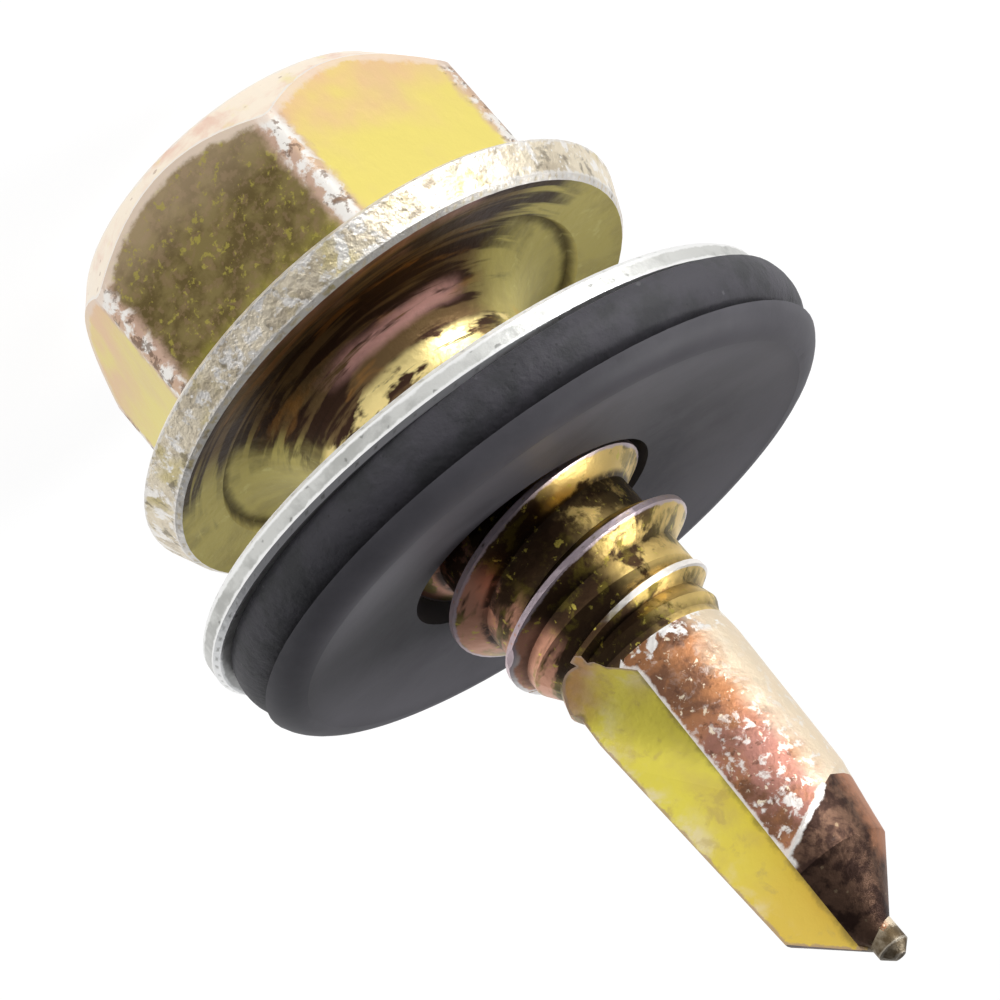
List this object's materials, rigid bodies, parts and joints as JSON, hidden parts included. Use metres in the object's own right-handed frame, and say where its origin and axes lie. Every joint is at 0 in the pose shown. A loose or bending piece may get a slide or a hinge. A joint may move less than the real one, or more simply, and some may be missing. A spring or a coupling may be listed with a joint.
{
  "type": "self drilling screw",
  "caption": "Hex washer head self drilling screw with a helical thread, a fluted drill point and a loose bonded sealing washer.",
  "frame": {"origin": "centre of the flat top of the hexagon head, which the screw stands on", "axes": "+Z along the screw's axis from the head towards the drill point; two flats of the hexagon face +X and -X"},
  "size_m": [0.0158, 0.0155, 0.0243],
  "materials": {
    "plated_steel": "yellow passivated zinc plate on carbon steel, iridescent and worn silver on its edges",
    "washer_steel": "pale galvanised steel, satin",
    "seal_rubber": "black vulcanised rubber, rough on its cut side wall and smooth on its face"
  },
  "bodies": {
    "screw": {"screw": "plated_steel"},
    "washer": {"washer_plate": "washer_steel", "rubber_seal": "seal_rubber"}
  },
  "joints": [
    {"name": "washer_slide", "type": "slide", "parent": "screw", "child": "washer", "axis": [0, 0, 1], "range_m": [-0.002, 0.004]}
  ]
}
